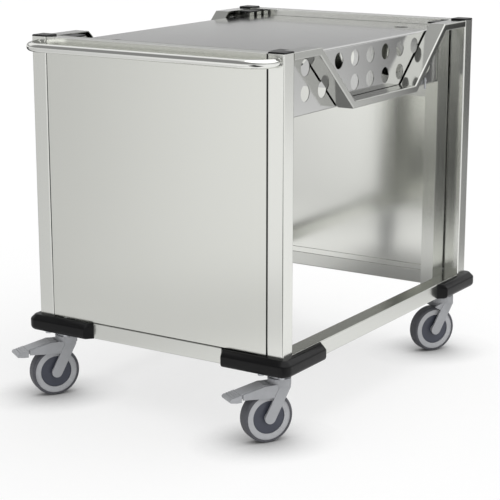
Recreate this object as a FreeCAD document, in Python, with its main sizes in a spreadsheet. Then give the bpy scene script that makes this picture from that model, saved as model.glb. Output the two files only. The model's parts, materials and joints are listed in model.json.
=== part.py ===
"""A self-leveling cart: a stainless frame on four castors, and a sprung platform between double end walls.

X runs along the open sides, with the push handle at -X; Y runs across; Z is up.
The origin is on the floor, under the middle of the four posts.
"""
import FreeCAD, Part
import os
import re
import Sketcher
from FreeCAD import Placement, Rotation, Vector

SIZES = [
    ("frame_length", 964, "over the corner posts, along X"),
    ("frame_width", 720, "over the corner posts, along Y"),
    ("frame_top", 914, "top of the posts above the floor"),
    ("base_low", 175, "underside of the base rails above the floor"),
    ("base_rail_height", 40, "height of the base rails"),
    ("rail_wall", 2, "wall of the base and top rails"),
    ("rail_corner", 3, "outer corner radius of a rail"),
    ("post_side", 44, "side of a corner post, and width of every rail"),
    ("post_wall", 1.5, "wall of a corner post"),
    ("post_corner", 4, "outer corner radius of a post"),
    ("cap_thickness", 4, "plate of a plastic end cap"),
    ("cap_corner", 3, "rounded rim of an end cap"),
    ("cap_plug_depth", 12, "plug of an end cap inside its tube"),
    ("cap_clearance", 0.2, "gap between a plug and its tube"),
    ("column_width", 60, "guide column, along X"),
    ("column_depth", 36, "guide column, along Y"),
    ("column_wall", 2, "wall of a guide column"),
    ("column_slot", 16, "slot in a guide column for the neck of a shoe"),
    ("column_wall_gap", 7, "gap between a guide column and the end wall"),
    ("column_below_top", 6, "top of a guide column below the top of the posts"),
    ("panel_sheet", 1.5, "sheet of the end panels"),
    ("panel_gap", 2, "seam beside and under an outer panel"),
    ("panel_return", 8, "turned-in side edges of an outer panel"),
    ("inner_panel_gap", 5, "open seam between an inner panel and the posts"),
    ("toe_height", 14, "folded toe along the foot of an inner panel"),
    ("toe_reach", 3, "how far that toe stands into the bay"),
    ("top_rail_height", 40, "height of an end top rail"),
    ("yoke_slot_width", 12, "slot in an inner panel for a yoke arm"),
    ("yoke_slot_margin", 8, "room above and below the path of a yoke arm"),
    ("tie_face", 18, "front height of a folded top tie"),
    ("tie_sheet", 2, "sheet of a top tie"),
    ("tie_bend", 3, "outer bend radius between the web and the flanges of a tie"),
    ("tie_drop", 142, "depth of the dip in a top tie"),
    ("tie_knee_high", 323, "where the dip begins, from the middle"),
    ("tie_knee_low", 164, "where the dip reaches its floor, from the middle"),
    ("deck_below_top", 16, "top of the platform below the top of the posts"),
    ("deck_sheet", 2, "sheet of the platform"),
    ("deck_bend", 5, "outer bend radius of the platform"),
    ("deck_wall_gap", 4, "gap between the platform and an inner panel"),
    ("deck_column_gap", 3, "gap between the platform and a guide column"),
    ("skirt_gap", 3.5, "gap between a skirt and the back of a top tie"),
    ("skirt_height", 144, "height of a platform skirt"),
    ("skirt_return", 18, "turned-in lower edge of a skirt"),
    ("skirt_hole", 40, "hole in a skirt"),
    ("hole_pitch", 78, "pitch of the holes along a skirt"),
    ("hole_end_margin", 30, "least sheet between the last hole and the end of a skirt"),
    ("hole_row_low", 51, "lower row of holes above the skirt's lower edge"),
    ("hole_row_pitch", 59, "pitch of the two rows of holes"),
    ("finger_hole", 37, "lifting hole in the platform"),
    ("finger_hole_end", 101, "lifting hole from the end of the platform"),
    ("finger_hole_side", 90, "lifting hole from the side of the platform"),
    ("platform_stop", 33, "lowest place of the ribs above the base rails"),
    ("rib_sheet", 4, "plate of a platform rib"),
    ("rib_height", 188, "height of a platform rib"),
    ("rib_window", 90, "lightening hole in a platform rib"),
    ("rib_window_pitch", 150, "pitch of the lightening holes"),
    ("shoe_height", 150, "height of a guide shoe"),
    ("shoe_below_deck", 12, "top of a guide shoe below the sheet of the platform"),
    ("shoe_clearance", 0.3, "running gap between a shoe and its column"),
    ("yoke_height", 40, "height of a spring yoke"),
    ("yoke_sheet", 4, "plate of a spring yoke"),
    ("yoke_arm_inset", 52, "middle of a yoke arm from the inner faces of the posts"),
    ("yoke_wall_gap", 12, "gap between a yoke bar and its inner panel"),
    ("yoke_shelf", 18, "shelf of a yoke that takes the spring ends"),
    ("yoke_shelf_inset", 14, "end of a yoke shelf and of a hanger from the middle of a yoke arm"),
    ("hanger_sheet", 3, "sheet of a spring hanger"),
    ("hanger_below_rail", 4, "top of a spring hanger below the end top rail"),
    ("spring_coil", 16, "outside diameter of a spring"),
    ("spring_wire", 3, "diameter of a spring's end wire"),
    ("spring_neck", 10, "straight wire at each end of a spring"),
    ("spring_button", 8, "diameter of the button that holds a spring end"),
    ("spring_button_height", 3, "height of that button"),
    ("spring_hole_play", 0.5, "gap round a spring wire in its hole"),
    ("spring_end_inset", 50, "outermost spring from the end of its shelf"),
    ("handle_tube", 21, "diameter of the push handle"),
    ("handle_wall", 1.5, "wall of the push handle"),
    ("handle_reach", 63, "middle of the grip from the end wall"),
    ("handle_bend", 58, "bend radius of the push handle"),
    ("handle_drop", 19, "middle of the handle below the top of the posts"),
    ("handle_leg", 18, "middle of a handle leg from the side of its post"),
    ("bumper_leg", 170, "length of a bumper along each side from the corner"),
    ("bumper_reach", 25, "how far a bumper stands out"),
    ("bumper_corner", 26, "rounded corner of a bumper in plan"),
    ("bumper_rim", 8, "rounded lower rim of a bumper"),
    ("bumper_top_slope", 12, "bevel along the upper rim of a bumper"),
    ("bumper_end_slope", 14, "slope of a bumper's ends"),
    ("bumper_groove", 5, "height of the groove along a bumper"),
    ("bumper_groove_depth", 3, "depth of that groove"),
    ("gusset_sheet", 4, "corner plate under the rails"),
    ("gusset_overlap", 5, "corner plate past the guide column"),
    ("castor_inset_x", 50, "swivel axis from the end of the frame"),
    ("castor_inset_y", 40, "swivel axis from the side of the frame"),
    ("castor_turn", 148, "direction in which the castors trail, in degrees"),
    ("castor_trail", 34, "wheel axle behind the swivel axis"),
    ("wheel_diameter", 125, "wheel over the tread"),
    ("tyre_width", 34, "width of the tread"),
    ("tyre_depth", 7.5, "depth of the tread"),
    ("tyre_shoulder", 7, "rounded shoulder of the tread"),
    ("rim_width", 30, "width of the wheel's rim"),
    ("rim_depth", 14.5, "depth of the wheel's rim"),
    ("web_width", 10, "web of the wheel"),
    ("hub_diameter", 22, "hub of the wheel"),
    ("hub_cover_sheet", 3, "disc over the web on each side"),
    ("hub_cover_sink", 2, "disc below the face of the rim"),
    ("hub_cover_play", 0.1, "gap round that disc"),
    ("axle_diameter", 10, "wheel axle"),
    ("axle_play", 0.05, "running gap round a pin"),
    ("axle_cover", 1.2, "skin of a leg over the end of the axle"),
    ("fork_gap", 40, "space between the fork's legs"),
    ("fork_leg", 5, "thickness of a leg"),
    ("fork_leg_width", 27, "width of a leg"),
    ("fork_leg_ahead", 13.5, "middle of a leg at the top of the crown ahead of the swivel axis"),
    ("fork_back_trim", 10.7, "upper corner of a leg that is trimmed upright"),
    ("fork_crown", 56, "diameter of the crown"),
    ("fork_crown_height", 18, "height of the crown"),
    ("fork_wheel_room", 11, "room between the tread and the crown"),
    ("fork_side_play", 0.3, "side play between a fork and what moves in it"),
    ("hood_length", 104, "end of a braked fork's hood from the swivel axis"),
    ("shoulder_length", 37, "end of a plain fork's shoulder from the swivel axis"),
    ("hood_step", 1, "hood and shoulder below the face of a leg"),
    ("swivel_race", 44, "diameter of the swivel race"),
    ("swivel_play", 0.3, "gap between the race and the crown"),
    ("kingpin_diameter", 12, "swivel pin"),
    ("kingpin_cover", 2, "crown left under the swivel pin"),
    ("castor_plate_length", 92, "castor plate, along X"),
    ("castor_plate_width", 76, "castor plate, along Y"),
    ("castor_plate_sheet", 4, "thickness of the castor plate"),
    ("castor_plate_corner", 8, "corner radius of the castor plate"),
    ("bolt_diameter", 8, "castor bolt"),
    ("bolt_head", 13, "castor bolt's head, across the flats"),
    ("bolt_head_height", 5.3, "height of that head"),
    ("bolt_play", 0.3, "gap round a bolt in its hole"),
    ("bolt_edge", 10, "bolt from the edges of the castor plate"),
    ("pedal_pivot_along", 26, "pedal pivot behind the swivel axis"),
    ("pedal_pivot_drop", 5, "pedal pivot below the crown"),
    ("pedal_pin", 6, "pedal pivot"),
    ("pedal_hub", 9, "hub of the pedal round its pivot"),
    ("pedal_length", 138, "tip of the pedal from the swivel axis"),
    ("pedal_seam", 3.5, "gap between the end of the hood and the tip of the pedal"),
    ("pedal_groove", 3, "groove across the tip of the pedal"),
    ("cut_over", 1, "overrun of a cut past its face"),
]
NAMES = {name for name, _, _ in SIZES}

doc = FreeCAD.newDocument("SelfLevelingCart")
sheet = doc.addObject("Spreadsheet::Sheet", "Sizes")
for row, (name, number, note) in enumerate(SIZES, 1):
    sheet.set(f"A{row}", note)
    sheet.set(f"B{row}", str(number))
    sheet.setAlias(f"B{row}", name)
doc.recompute()


def cells(text):
    """Turn the size names in a formula into cells of the sheet."""
    def cell(word):
        return "Sizes." + word[0] if word[0] in NAMES else word[0]

    return re.sub(r"[a-z][a-z_]*", cell, str(text))


def value(text):
    """The number that a formula of size names comes to."""
    result = sheet.evalExpression(cells(text))
    return float(getattr(result, "Value", result))


def bind(thing, **formulas):
    for prop, text in formulas.items():
        thing.setExpression(prop, cells(text))


def place(thing, x, y, z, rotation=Rotation()):
    thing.Placement = Placement(Vector(), rotation)
    for axis, text in zip("xyz", (x, y, z)):
        thing.setExpression("Placement.Base." + axis, cells(text))
    return thing


def turned(quarter_turns):
    """A turn about Z by whole quarter turns."""
    return Rotation(Vector(0, 0, 1), 90 * quarter_turns)


def side(sign, low, high):
    """The pair of formulas from low to high, or their mirror image."""
    return (f"{low}", f"{high}") if sign > 0 else (f"-({high})", f"-({low})")


def both(half):
    return (f"-({half})", f"{half}")


# Primitives and booleans

def box(name, x, y, z):
    """A box between pairs of formulas."""
    thing = doc.addObject("Part::Box", name)
    for prop, (low, high) in {"Length": x, "Width": y, "Height": z}.items():
        bind(thing, **{prop: f"({high}) - ({low})"})
    return place(thing, x[0], y[0], z[0])


def cylinder(name, diameter, x, y, z):
    """An upright cylinder between a pair of heights."""
    thing = doc.addObject("Part::Cylinder", name)
    bind(thing, Radius=f"({diameter}) / 2", Height=f"({z[1]}) - ({z[0]})")
    return place(thing, x, y, z[0])


def fuse(name, things):
    thing = doc.addObject("Part::MultiFuse", name)
    thing.Shapes = things
    thing.Label = name
    return thing


def cut(name, base, tools):
    thing = doc.addObject("Part::Cut", name)
    thing.Base = base
    thing.Tool = tools[0] if len(tools) == 1 else fuse(name + "_tools", tools)
    thing.Label = name
    return thing


def group(name, things):
    """Separate solids that share one node."""
    thing = doc.addObject("Part::Compound", name)
    thing.Links = things
    thing.Label = name
    return thing


# Bodies, sketches and features

def new_body(name):
    body = doc.addObject("PartDesign::Body", name)
    body.Label = name
    return body


def new_sketch(body, role, height="0"):
    sketch = body.newObject("Sketcher::SketchObject", "Sketch")
    plane = next(item for item in body.Origin.OriginFeatures if item.Role == role)
    sketch.AttachmentSupport = [(plane, "")]
    sketch.MapMode = "FlatFace"
    sketch.setExpression("AttachmentOffset.Base.z", cells(height))
    return sketch


def pin(sketch, kind, text, geometry, point):
    """Hold a point of a sketch at a formula's distance from the origin."""
    number = sketch.addConstraint(Sketcher.Constraint(kind, -1, 1, geometry, point, value(text)))
    sketch.setExpression(f"Constraints[{number}]", cells(text))


def polygon(sketch, points):
    """A closed outline through corners given as pairs of formulas."""
    first = sketch.GeometryCount
    corners = [Vector(value(x), value(y), 0) for x, y in points]
    count = len(points)
    for index in range(count):
        sketch.addGeometry(Part.LineSegment(corners[index], corners[(index + 1) % count]))
    for index in range(count):
        following = first + (index + 1) % count
        sketch.addConstraint(Sketcher.Constraint("Coincident", first + index, 2, following, 1))
    for index, (x, y) in enumerate(points):
        pin(sketch, "DistanceX", x, first + index, 1)
        pin(sketch, "DistanceY", y, first + index, 1)


def rectangle(sketch, x, y):
    polygon(sketch, [(x[0], y[0]), (x[1], y[0]), (x[1], y[1]), (x[0], y[1])])


def circle(sketch, x, y, diameter):
    middle = Vector(value(x), value(y), 0)
    number = sketch.addGeometry(Part.Circle(middle, Vector(0, 0, 1), value(diameter) / 2))
    pin(sketch, "DistanceX", x, number, 3)
    pin(sketch, "DistanceY", y, number, 3)
    size = sketch.addConstraint(Sketcher.Constraint("Diameter", number, value(diameter)))
    sketch.setExpression(f"Constraints[{size}]", cells(diameter))


def extrude(body, kind, sketch, length, reverse=False, symmetric=False):
    feature = body.newObject("PartDesign::" + kind, kind)
    feature.Profile = sketch
    feature.setExpression("Length", cells(length))
    feature.Reversed = reverse
    feature.SideType = "Symmetric" if symmetric else "One side"
    return feature


def pad(body, sketch, length, **how):
    return extrude(body, "Pad", sketch, length, **how)


def pocket(body, sketch, length, **how):
    return extrude(body, "Pocket", sketch, length, **how)


def revolve(body, sketch):
    feature = body.newObject("PartDesign::Revolution", "Revolution")
    feature.Profile = sketch
    feature.ReferenceAxis = (sketch, ["V_Axis"])
    return feature


def dress(body, kind, prop, size, chosen):
    """Round or bevel the edges of the body that a test picks by their middle and direction."""
    doc.recompute()
    base = body.Tip
    edges = [f"Edge{number}" for number, edge in enumerate(base.Shape.Edges, 1) if chosen(edge)]
    feature = body.newObject("PartDesign::" + kind, kind)
    feature.Base = (base, edges)
    feature.setExpression(prop, cells(size))
    return feature


def fillet(body, size, chosen):
    return dress(body, "Fillet", "Radius", size, chosen)


def near(number, text):
    """Whether a measure on a shape is the size that a formula gives."""
    return abs(number - value(text)) < SAME_PLACE


def runs_along(edge, axis):
    """Whether a straight edge runs along X, Y or Z."""
    if edge.Curve.TypeId != "Part::GeomLine":
        return False
    return abs(edge.tangentAt(edge.FirstParameter)["xyz".index(axis)]) > 1 - SAME_PLACE


SAME_PLACE = 1e-4
ENDS = {"handle": -1, "far": 1}
SIDES = {"front": -1, "back": 1}
CORNERS = [(f"{end}_{face}", ENDS[end], SIDES[face]) for end in ENDS for face in SIDES]

# Places that several pieces share
HALF_LENGTH = "(frame_length / 2)"
HALF_WIDTH = "(frame_width / 2)"
INNER_LENGTH = "(frame_length / 2 - post_side)"
INNER_WIDTH = "(frame_width / 2 - post_side)"
BASE_TOP = "(base_low + base_rail_height)"
COLUMN_X = f"({INNER_LENGTH} - column_wall_gap - column_width / 2)"
COLUMN_Y = f"({INNER_WIDTH} - column_depth / 2)"
COLUMN_TOP = "(frame_top - column_below_top)"
SKIRT_HALF = f"({INNER_WIDTH} - skirt_gap)"
SKIRT_END = f"({COLUMN_X} - column_width / 2 - deck_column_gap)"
DECK_LEVEL = "(frame_top - deck_below_top)"
SKIRT_LOW = f"({DECK_LEVEL} - skirt_height)"
DECK_END = f"({INNER_LENGTH} - deck_wall_gap)"
TONGUE_HALF = f"({INNER_WIDTH} - column_depth - deck_column_gap)"
DECK_UNDER = f"({DECK_LEVEL} - deck_sheet)"
RIB_LOW = f"({DECK_UNDER} - rib_height)"
YOKE_X = f"({INNER_LENGTH} + panel_sheet + yoke_wall_gap)"
SPRING_X = f"({YOKE_X} + yoke_sheet + yoke_shelf / 2)"
YOKE_ARM = f"({INNER_WIDTH} - yoke_arm_inset)"
YOKE_HALF = f"({YOKE_ARM} - yoke_shelf_inset)"
SPRING_PLACE_SHARES = (-1, -0.6, -0.2, 0.2, 0.6, 1)
HANGER_TOP = "(frame_top - top_rail_height - hanger_below_rail)"
CASTOR_X = f"({HALF_LENGTH} - castor_inset_x)"
CASTOR_Y = f"({HALF_WIDTH} - castor_inset_y)"
GUSSET_LOW = "(base_low - gusset_sheet)"
CASTOR_PLATE_LOW = f"({GUSSET_LOW} - castor_plate_sheet)"
WHEEL_RADIUS = "(wheel_diameter / 2)"
CROWN_LOW = "(wheel_diameter + fork_wheel_room)"
CROWN_TOP = f"({CROWN_LOW} + fork_crown_height)"
FORK_WIDTH = "(fork_gap + 2 * fork_leg)"
LEG_TILT = f"atan((castor_trail + fork_leg_ahead) / ({CROWN_TOP} - {WHEEL_RADIUS}))"
PIVOT_Z = f"({CROWN_LOW} - pedal_pivot_drop)"
PIN_LENGTH = f"({FORK_WIDTH} - fork_leg)"


# Frame

def square_tube(name, across, up, wall, corner, length):
    """A square tube along its own Z, with its first corner at its origin and its outer corners rounded."""
    body = new_body(name)
    sketch = new_sketch(body, "XY_Plane")
    rectangle(sketch, ("0", across), ("0", up))
    rectangle(sketch, (wall, f"{across} - {wall}"), (wall, f"{up} - {wall}"))
    pad(body, sketch, length)

    def outer_corner(edge):
        middle = edge.CenterOfMass
        at_side = near(middle.x, "0") or near(middle.x, across)
        return runs_along(edge, "z") and at_side

    fillet(body, corner, outer_corner)
    return body


def corner_post(name, end, face):
    body = square_tube(name, "post_side", "post_side", "post_wall", "post_corner", f"frame_top - {BASE_TOP}")
    x = side(end, INNER_LENGTH, HALF_LENGTH)[0]
    y = side(face, INNER_WIDTH, HALF_WIDTH)[0]
    return place(body, x, y, BASE_TOP)


def tube_cap(name, across, deep, wall, x, y, top):
    """A plastic cap that closes an upright tube, with its plug."""
    body = new_body(name)
    plate = new_sketch(body, "XY_Plane")
    rectangle(plate, both(f"{across} / 2"), both(f"{deep} / 2"))
    pad(body, plate, "cap_thickness")
    plug = new_sketch(body, "XY_Plane")
    room = f"({wall} + cap_clearance + post_corner / 2)"
    rectangle(plug, both(f"{across} / 2 - {room}"), both(f"{deep} / 2 - {room}"))
    pad(body, plug, "cap_plug_depth", reverse=True)
    fillet(body, "cap_corner", lambda edge: near(edge.CenterOfMass.z, "cap_thickness")
           or (runs_along(edge, "z") and near(edge.CenterOfMass.z, "cap_thickness / 2")))
    return place(body, x, y, top)


def guide_column(name, end, face):
    """A C-profile with its slot towards the middle of the cart."""
    body = new_body(name)
    sketch = new_sketch(body, "XY_Plane")
    half = "column_width / 2"
    deep = "column_depth / 2"
    inner = "(column_width / 2 - column_wall)"
    floor = "(column_depth / 2 - column_wall)"
    right = [(half, f"-{deep}"), (half, deep), ("column_slot / 2", deep), ("column_slot / 2", floor),
             (inner, floor), (inner, f"-{floor}")]
    left = [(f"-({x})", y) for x, y in reversed(right)]
    polygon(sketch, right + left)
    pad(body, sketch, f"{COLUMN_TOP} - base_low")
    turn = turned(0 if face < 0 else 2)
    return place(body, f"{end} * {COLUMN_X}", f"{face} * {COLUMN_Y}", "base_low", turn)


def rail_along_x(name, face):
    length = f"2 * {INNER_LENGTH}"
    body = square_tube(name, "base_rail_height", "post_side", "rail_wall", "rail_corner", length)
    lying = Rotation(Vector(0, 1, 0), 90)
    y = side(face, INNER_WIDTH, HALF_WIDTH)[0]
    return place(body, f"-{INNER_LENGTH}", y, BASE_TOP, lying)


def rail_along_y(name, across, high, x, length, top):
    body = square_tube(name, across, high, "rail_wall", "rail_corner", length)
    lying = Rotation(Vector(1, 0, 0), 90)
    return place(body, x, f"({length}) / 2", f"{top} - {high}", lying)


def outer_panel(name, end):
    half = f"({INNER_WIDTH} - panel_gap)"
    low = f"({BASE_TOP} + panel_gap)"
    sheet_face = box(name + "_face", side(end, f"{HALF_LENGTH} - panel_sheet", HALF_LENGTH), both(half),
                     (low, "frame_top"))
    edges = [box(name + "_edge", side(end, f"{HALF_LENGTH} - panel_return", f"{HALF_LENGTH} - panel_sheet"),
                 side(face, f"{half} - panel_sheet", half), (low, f"{HANGER_TOP} - 2 * hanger_sheet"))
             for face in SIDES.values()]
    return fuse(name, [sheet_face] + edges)


def inner_panel(name, end):
    """The wall of the load bay, with a toe along its foot and a slot for each arm of the spring yoke."""
    half = f"{INNER_WIDTH} - inner_panel_gap"
    plate = box(name + "_face", side(end, INNER_LENGTH, f"{INNER_LENGTH} + panel_sheet"), both(half),
                (BASE_TOP, "frame_top"))
    toe = box(name + "_toe", side(end, f"{INNER_LENGTH} - toe_reach", INNER_LENGTH), both(half),
              (BASE_TOP, f"{BASE_TOP} + toe_height"))
    through = side(end, f"{INNER_LENGTH} - cut_over", f"{INNER_LENGTH} + panel_sheet + cut_over")
    low = f"{BASE_TOP} + platform_stop - yoke_slot_margin"
    high = f"{RIB_LOW} + yoke_height + yoke_slot_margin"
    slots = [box(name + "_slot", through,
                 side(face, f"{YOKE_ARM} - yoke_slot_width / 2", f"{YOKE_ARM} + yoke_slot_width / 2"),
                 (low, high))
             for face in SIDES.values()]
    return cut(name, fuse(name + "_solid", [plate, toe]), slots)


def tie_outline(inset):
    """The folded band of a top tie, moved inwards by an inset on both edges."""
    lean = "tan(atan(tie_drop / (tie_knee_high - tie_knee_low)) / 2)"
    edges = []
    for height in (inset, f"(tie_face - {inset})"):
        high = f"(frame_top - tie_face + {height})"
        low = f"({high} - tie_drop)"
        half = [(INNER_LENGTH, high), (f"(tie_knee_high - {height} * {lean})", high),
                (f"(tie_knee_low - {height} * {lean})", low)]
        edges.append([(f"-{x}", z) for x, z in half] + half[::-1])
    return edges[0] + edges[1][::-1]


def top_tie(name, face):
    """A folded channel over an open side: its web shows, and its flanges point inwards."""
    body = new_body(name)
    band = new_sketch(body, "XZ_Plane", INNER_WIDTH)
    polygon(band, tie_outline("0"))
    pad(body, band, "post_side")
    hollow = new_sketch(body, "XZ_Plane", INNER_WIDTH)
    polygon(hollow, tie_outline("tie_sheet"))
    pocket(body, hollow, "post_side - tie_sheet", reverse=True)

    def web_edge(edge):
        return near(edge.CenterOfMass.y, f"-{HALF_WIDTH}") and not runs_along(edge, "z")

    fillet(body, "tie_bend", web_edge)
    return place(body, "0", "0", "0", turned(0 if face < 0 else 2))


def push_handle():
    """One bent tube from post to post."""
    body = new_body("push_handle")
    leg_y = f"({HALF_WIDTH} - handle_leg)"
    grip_x = f"({HALF_LENGTH} + handle_reach)"
    bend_x = f"({grip_x} - handle_bend)"
    bend_y = f"({leg_y} - handle_bend)"
    path = new_sketch(body, "XY_Plane", "frame_top - handle_drop")
    places = (HALF_LENGTH, grip_x, leg_y, bend_x, bend_y, "handle_bend")
    start, grip, leg, turn_x, turn_y, bend = (value(text) for text in places)
    quarter = FreeCAD.Units.Quantity("90 deg").getValueAs("rad").Value
    middle = Vector(0, 0, 1)
    pieces = [Part.LineSegment(Vector(-start, -leg, 0), Vector(-turn_x, -leg, 0)),
              Part.ArcOfCircle(Part.Circle(Vector(-turn_x, -turn_y, 0), middle, bend), 2 * quarter,
                               3 * quarter),
              Part.LineSegment(Vector(-grip, -turn_y, 0), Vector(-grip, turn_y, 0)),
              Part.ArcOfCircle(Part.Circle(Vector(-turn_x, turn_y, 0), middle, bend), quarter, 2 * quarter),
              Part.LineSegment(Vector(-turn_x, leg, 0), Vector(-start, leg, 0))]
    for piece in pieces:
        path.addGeometry(piece)
    for line, line_end, arc, arc_end in ((0, 2, 1, 2), (2, 1, 1, 1), (2, 2, 3, 2), (4, 1, 3, 1)):
        path.addConstraint(Sketcher.Constraint("Tangent", line, line_end, arc, arc_end))
    for line in (0, 4):
        path.addConstraint(Sketcher.Constraint("Horizontal", line))
    path.addConstraint(Sketcher.Constraint("Vertical", 2))
    for text, line, line_end in ((f"-{leg_y}", 0, 1), (leg_y, 4, 2)):
        pin(path, "DistanceX", f"-{HALF_LENGTH}", line, line_end)
        pin(path, "DistanceY", text, line, line_end)
    pin(path, "DistanceX", f"-{grip_x}", 2, 1)
    for arc in (1, 3):
        number = path.addConstraint(Sketcher.Constraint("Radius", arc, bend))
        path.setExpression(f"Constraints[{number}]", "Sizes.handle_bend")
    ring = new_sketch(body, "YZ_Plane", f"-{HALF_LENGTH}")
    for size in ("handle_tube", "handle_tube - 2 * handle_wall"):
        circle(ring, f"-{leg_y}", "frame_top - handle_drop", size)
    pipe = body.newObject("PartDesign::AdditivePipe", "Pipe")
    pipe.Profile = ring
    pipe.Spine = (path, [f"Edge{number}" for number in range(1, len(pieces) + 1)])
    return body


def corner_bumper(name, end, face):
    """A moulded L round the foot of a corner, grooved along its face."""
    body = new_body(name)
    out = "-bumper_reach"
    tip = "(bumper_leg - bumper_end_slope)"
    plan = new_sketch(body, "XY_Plane")
    polygon(plan, [(out, out), (tip, out), ("bumper_leg", "0"), ("0", "0"), ("0", "bumper_leg"), (out, tip)])
    pad(body, plan, "base_rail_height")
    past = "(-bumper_reach - cut_over)"
    bed = "(bumper_groove_depth - bumper_reach)"
    far = "(bumper_leg + cut_over)"
    groove = new_sketch(body, "XY_Plane", "(base_rail_height + bumper_groove) / 2")
    polygon(groove, [(past, past), (far, past), (far, bed), (bed, bed), (bed, far), (past, far)])
    pocket(body, groove, "bumper_groove")

    def upright_at(text):
        return lambda edge: (runs_along(edge, "z") and near(edge.CenterOfMass.x, text)
                             and near(edge.CenterOfMass.y, text))

    fillet(body, "bumper_corner", upright_at(out))
    fillet(body, "bumper_corner - bumper_groove_depth", upright_at(bed))

    def outer_rim(level):
        def chosen(edge):
            middle = edge.CenterOfMass
            behind = min(middle.x, middle.y) > -SAME_PLACE
            along = runs_along(edge, "x") or runs_along(edge, "y") or edge.Curve.TypeId == "Part::GeomCircle"
            return near(middle.z, level) and not behind and along
        return chosen

    fillet(body, "bumper_rim", outer_rim("0"))
    dress(body, "Chamfer", "Size", "bumper_top_slope", outer_rim("base_rail_height"))
    quarter_turns = {(-1, -1): 0, (1, -1): 1, (1, 1): 2, (-1, 1): 3}[(end, face)]
    return place(body, f"{end} * {HALF_LENGTH}", f"{face} * {HALF_WIDTH}", "base_low", turned(quarter_turns))


# Castors, drawn with the trail along their own X and the swivel axis at their origin

BOLT_X = "(castor_plate_length / 2 - bolt_edge)"
BOLT_Y = "(castor_plate_width / 2 - bolt_edge)"
BOLT_PLACES = [(sx, sy) for sx in (-1, 1) for sy in (-1, 1)]


def bolt_hole(name, end, face, sx, sy, low, high):
    return cylinder(name, "bolt_diameter + 2 * bolt_play", f"{end} * {CASTOR_X} + {sx} * {BOLT_X}",
                    f"{face} * {CASTOR_Y} + {sy} * {BOLT_Y}", (f"{low} - cut_over", f"{high} + cut_over"))


def corner_gusset(name, end, face):
    inner_x = f"({COLUMN_X} - column_width / 2 - gusset_overlap)"
    inner_y = f"({INNER_WIDTH} - column_depth - gusset_overlap)"
    plate = box(name + "_plate", side(end, inner_x, HALF_LENGTH), side(face, inner_y, HALF_WIDTH),
                (GUSSET_LOW, "base_low"))
    holes = [bolt_hole(name + "_hole", end, face, sx, sy, GUSSET_LOW, "base_low") for sx, sy in BOLT_PLACES]
    return cut(name, plate, holes)


def castor_plate(name, end, face):
    """The fixed half of a castor: bolting plate, swivel race and swivel pin."""
    body = new_body(name)
    plate = new_sketch(body, "XY_Plane", CASTOR_PLATE_LOW)
    rectangle(plate, both("castor_plate_length / 2"), both("castor_plate_width / 2"))
    for sx, sy in BOLT_PLACES:
        circle(plate, f"{sx} * {BOLT_X}", f"{sy} * {BOLT_Y}", "bolt_diameter + 2 * bolt_play")
    pad(body, plate, "castor_plate_sheet")
    fillet(body, "castor_plate_corner", lambda edge: runs_along(edge, "z"))
    race = new_sketch(body, "XY_Plane", CASTOR_PLATE_LOW)
    circle(race, "0", "0", "swivel_race")
    pad(body, race, f"{CASTOR_PLATE_LOW} - {CROWN_TOP} - swivel_play", reverse=True)
    king = new_sketch(body, "XY_Plane", CASTOR_PLATE_LOW)
    circle(king, "0", "0", "kingpin_diameter")
    pad(body, king, f"{CASTOR_PLATE_LOW} - {CROWN_LOW} - kingpin_cover - swivel_play", reverse=True)
    return place(body, f"{end} * {CASTOR_X}", f"{face} * {CASTOR_Y}", "0")


def castor_bolt(name, end, face, sx, sy):
    body = new_body(name)
    head = new_sketch(body, "XY_Plane")
    corner = "(bolt_head / 2 / cos(30))"
    flat = "bolt_head / 2"
    polygon(head, [(corner, "0"), (f"{corner} / 2", flat), (f"-{corner} / 2", flat), (f"-{corner}", "0"),
                   (f"-{corner} / 2", f"-{flat}"), (f"{corner} / 2", f"-{flat}")])
    pad(body, head, "bolt_head_height", reverse=True)
    shank = new_sketch(body, "XY_Plane")
    circle(shank, "0", "0", "bolt_diameter")
    pad(body, shank, "castor_plate_sheet + gusset_sheet")
    return place(body, f"{end} * {CASTOR_X} + {sx} * {BOLT_X}", f"{face} * {CASTOR_Y} + {sy} * {BOLT_Y}",
                 CASTOR_PLATE_LOW)


def on_castor(thing, end, face, along="0", z="0", tilt=Rotation()):
    """Put a piece of a castor in its place behind the swivel axis."""
    turn = Rotation(Vector(0, 0, 1), value("castor_turn")).multiply(tilt)
    return place(thing, f"{end} * {CASTOR_X} + {along} * cos(castor_turn)",
                 f"{face} * {CASTOR_Y} + {along} * sin(castor_turn)", z, turn)


# Outlines of the plates beside the wheel: shares of their length, and of the crown's height above the floor
HOOD_SHARES = [(0.05, 0.8), (0.05, 1.044), (0.46, 1.048), (1.0, 0.949), (1.0, 0.857), (0.58, 0.835),
               (0.2, 0.816)]
SHOULDER_SHARES = [(0.05, 0.8), (0.05, 1.0), (0.5, 1.0), (1.0, 0.945), (0.95, 0.92), (0.34, 0.83)]


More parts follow.
